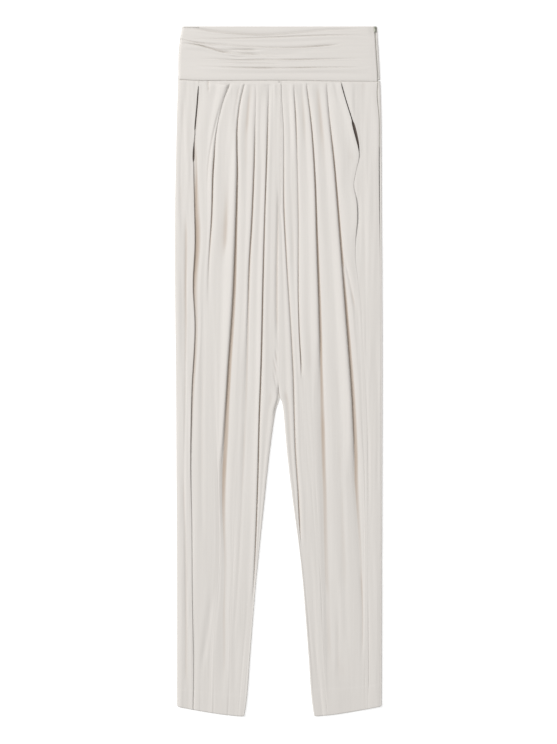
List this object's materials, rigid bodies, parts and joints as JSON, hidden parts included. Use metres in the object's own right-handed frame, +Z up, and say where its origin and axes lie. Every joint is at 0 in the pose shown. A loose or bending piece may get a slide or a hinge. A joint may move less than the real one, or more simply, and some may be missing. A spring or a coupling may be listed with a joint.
{
  "type": "high-waisted trousers laid flat",
  "caption": "Pleated high-waisted trousers laid flat, with a wide draped waistband, tapered legs, slanted pockets and a side zip with a turning pull tab.",
  "frame": {"origin": "on the surface the trousers lie on, below the middle of their overall box", "axes": "+X to the right of a viewer who looks down at the front, +Y towards the waist, +Z up from the surface, out of the front"},
  "size_m": [0.3418, 1.1386, 0.0088],
  "materials": {
    "cloth": "soft matt crepe with a faint sheen, light greige",
    "pocket_cloth": "plain matt pocketing in the cloth's colour",
    "zip_tape": "matt nylon coil",
    "zip_metal": "satin olive-grey enamel"
  },
  "bodies": {
    "trousers": {"front_left": "cloth", "front_right": "cloth", "side_panel_left": "cloth", "side_panel_right": "cloth", "back_left": "cloth", "back_right": "cloth", "waistband_front": "cloth", "waistband_back": "cloth", "pocket_bag_left": "pocket_cloth", "pocket_bag_right": "pocket_cloth", "zip_chain": "zip_tape", "zip_slider": "zip_metal"},
    "pull_tab": {"zip_pull_tab": "zip_metal"}
  },
  "joints": [
    {"name": "pull_tab_turn", "type": "hinge", "parent": "trousers", "child": "pull_tab", "pos_m": [0.15945, 0.56525, 0.0078], "axis": [-1, 0, 0], "range_deg": [0, 165]}
  ]
}
